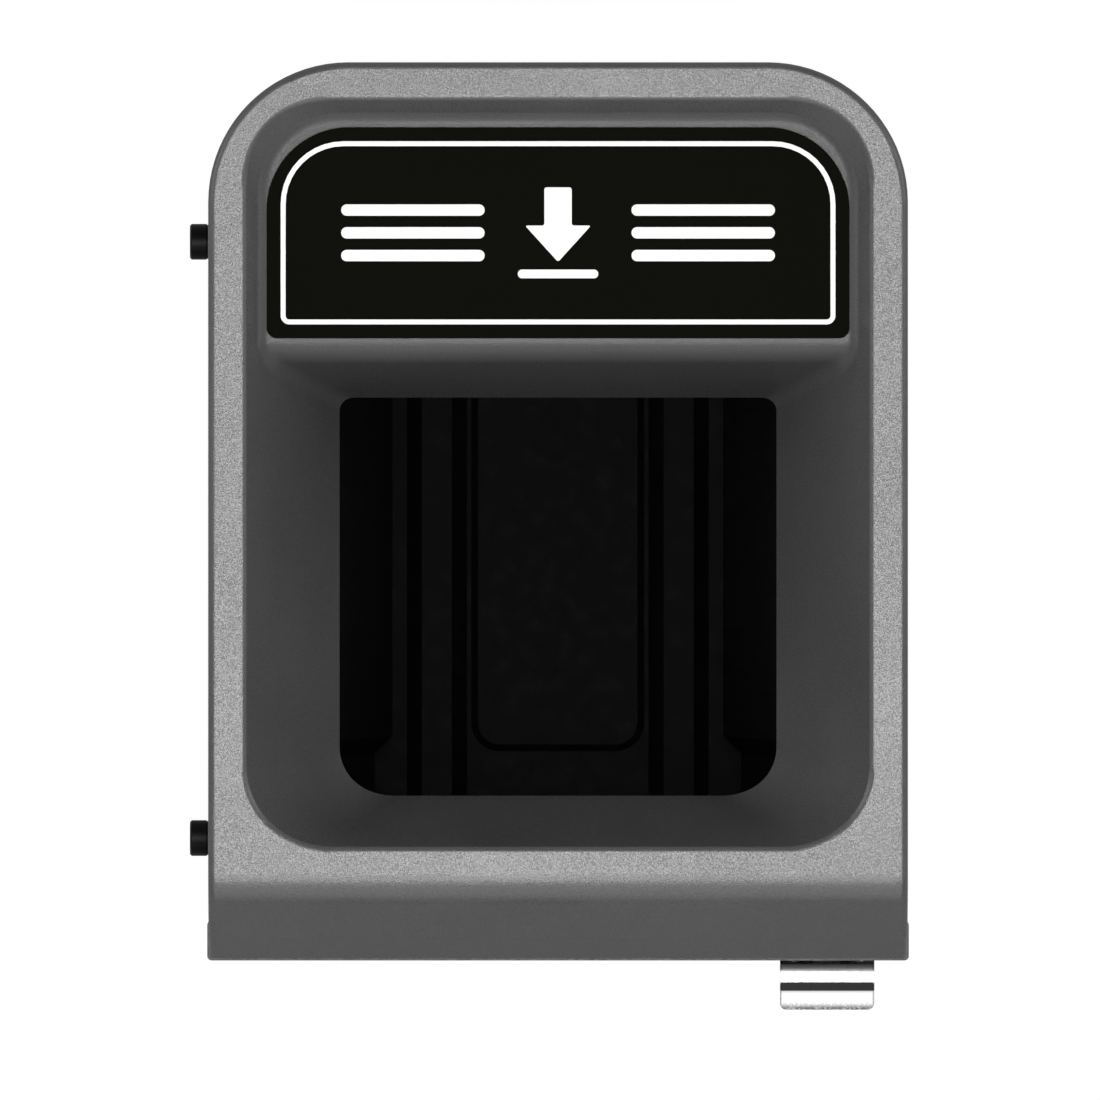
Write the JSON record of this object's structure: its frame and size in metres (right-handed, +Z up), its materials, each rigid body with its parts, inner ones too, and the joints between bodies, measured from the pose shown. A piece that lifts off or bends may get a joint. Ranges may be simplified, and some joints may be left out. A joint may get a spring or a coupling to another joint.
{
  "type": "waste container",
  "caption": "Floor-standing waste container: open funnel lid with label panel, sheet cabinet, pedal-latched front door, rigid liner and magnetic side connectors.",
  "frame": {"origin": "centre of the footprint, door, pedal and connectors included, on the floor", "axes": "+Z up, -Y towards the door, +X to the right of someone who faces the door"},
  "size_m": [0.4124, 0.552, 0.94],
  "materials": {
    "lid_plastic": "finely textured",
    "label_plastic": "satin",
    "coated_steel": "textured powder coat",
    "bare_steel": "zinc plated",
    "black_plastic": "moulded, slightly rough",
    "foot_plastic": "moulded",
    "bumper_rubber": "matt",
    "connector_plastic": "moulded",
    "magnet_metal": "nickel plated",
    "bush_plastic": "natural nylon",
    "chrome_steel": "polished"
  },
  "bodies": {
    "cabinet": {"lid": "lid_plastic", "label_panel": "label_plastic", "cabinet_shell": "coated_steel", "top_rail": "bare_steel", "base_pan": "black_plastic", "glide_feet": "foot_plastic", "liner": "black_plastic", "hinge_bracket_upper": "bare_steel", "hinge_bracket_lower": "bare_steel", "hinge_pins": "bare_steel", "door_bumpers": "bumper_rubber", "pedal_bracket": "bare_steel", "pedal_shaft": "bare_steel", "pedal_stop": "bumper_rubber", "pedal_spring": "bare_steel", "connector_housings": "connector_plastic", "connector_magnets": "magnet_metal"},
    "door": {"door_skin": "coated_steel", "door_inner_panel": "coated_steel", "hinge_bushings": "bush_plastic", "strike_plate": "bare_steel"},
    "pedal": {"pedal_lever": "bare_steel", "pedal_plate": "chrome_steel", "latch_tooth": "bare_steel"}
  },
  "joints": [
    {"name": "door_hinge", "type": "hinge", "parent": "cabinet", "child": "door", "pos_m": [-0.193, -0.222, 0.47], "axis": [0, 0, -1], "range_deg": [0, 105]},
    {"name": "pedal_pivot", "type": "hinge", "parent": "cabinet", "child": "pedal", "pos_m": [0.16, -0.179, 0.034], "axis": [1, 0, 0], "range_deg": [0, 10], "stiffness_Nm_per_rad": 4, "springref_deg": -17.19, "deforming": ["pedal_spring"]}
  ]
}
